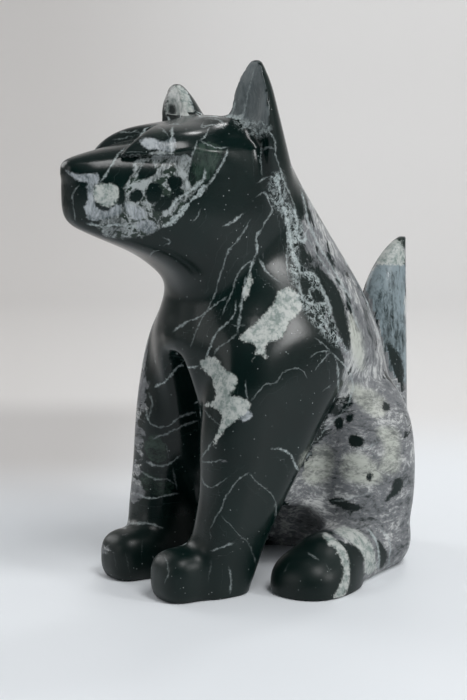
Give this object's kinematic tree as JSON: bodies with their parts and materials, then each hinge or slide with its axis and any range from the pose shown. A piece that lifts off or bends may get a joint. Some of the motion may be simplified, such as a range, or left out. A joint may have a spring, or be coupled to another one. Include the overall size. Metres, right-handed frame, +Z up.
{
  "type": "stone dog carving",
  "caption": "Sitting dog with upright ears and an upright tail, carved in one piece from dark veined stone, polished, resting on its paws and rump.",
  "frame": {"origin": "middle of the carving's outline seen from above, on the floor it rests on", "axes": "+Z up; -Y the way the dog looks; +X the dog's left side"},
  "size_m": [0.1024, 0.1516, 0.1885],
  "materials": {
    "stone": "polished dark green to black serpentine with pale veins"
  },
  "bodies": {
    "root": {"dog_carving": "stone"}
  },
  "joints": []
}
